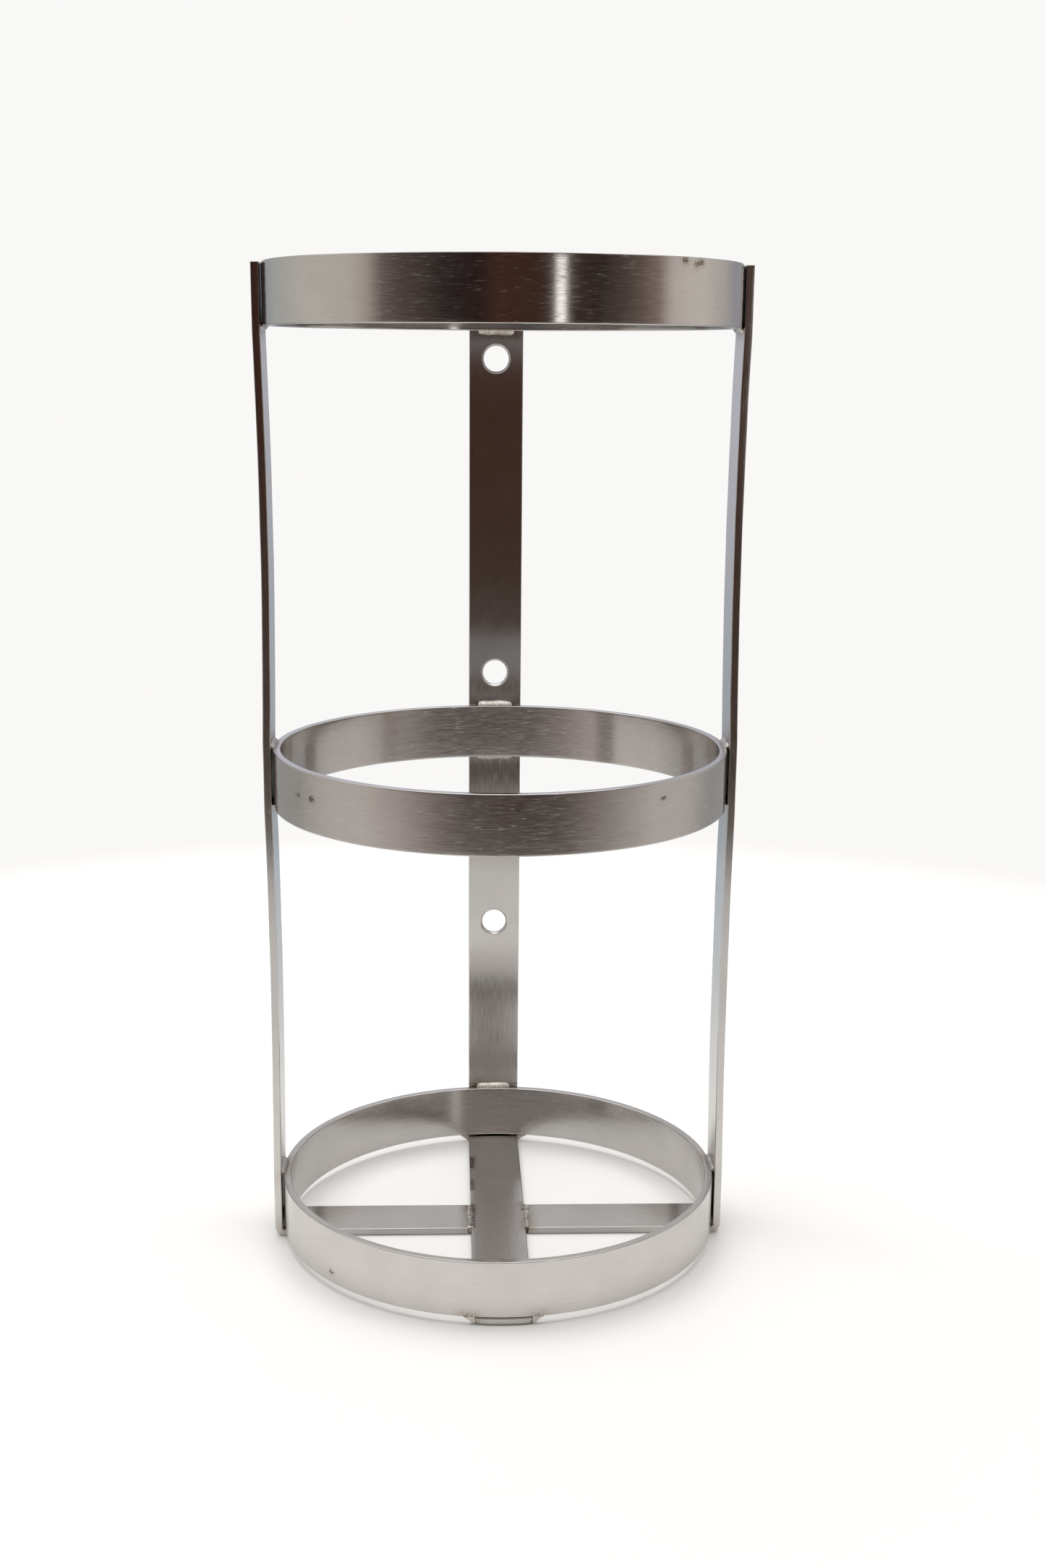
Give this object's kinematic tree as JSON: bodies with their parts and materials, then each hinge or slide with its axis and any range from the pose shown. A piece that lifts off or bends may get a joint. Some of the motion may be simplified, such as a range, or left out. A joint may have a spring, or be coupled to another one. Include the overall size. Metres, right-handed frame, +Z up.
{
  "type": "umbrella stand",
  "caption": "Open cylindrical umbrella stand of rolled and bent brushed steel flat bar, welded, with drilled holes in the rear strap for screwing it to a wall.",
  "frame": {"origin": "centre of the stand's footprint, on the floor under the straps' legs", "axes": "+Z up; the open front faces -Y; the rear strap with the wall holes is at +Y; +X to the right seen from the front"},
  "size_m": [0.2446, 0.2403, 0.512],
  "materials": {
    "flat_bar": "brushed along the bar, edges deburred",
    "weld_metal": "as welded, wire brushed"
  },
  "bodies": {
    "root": {"top_ring": "flat_bar", "middle_ring": "flat_bar", "bottom_ring": "flat_bar", "rear_strap": "flat_bar", "left_strap": "flat_bar", "right_strap": "flat_bar", "rear_top_weld": "weld_metal", "rear_middle_weld": "weld_metal", "rear_bottom_weld": "weld_metal", "left_top_weld": "weld_metal", "left_middle_weld": "weld_metal", "left_bottom_weld": "weld_metal", "right_top_weld": "weld_metal", "right_middle_weld": "weld_metal", "right_bottom_weld": "weld_metal", "front_floor_weld": "weld_metal", "rear_floor_weld": "weld_metal", "left_floor_weld": "weld_metal", "right_floor_weld": "weld_metal", "left_butt_weld": "weld_metal", "right_butt_weld": "weld_metal"}
  },
  "joints": []
}
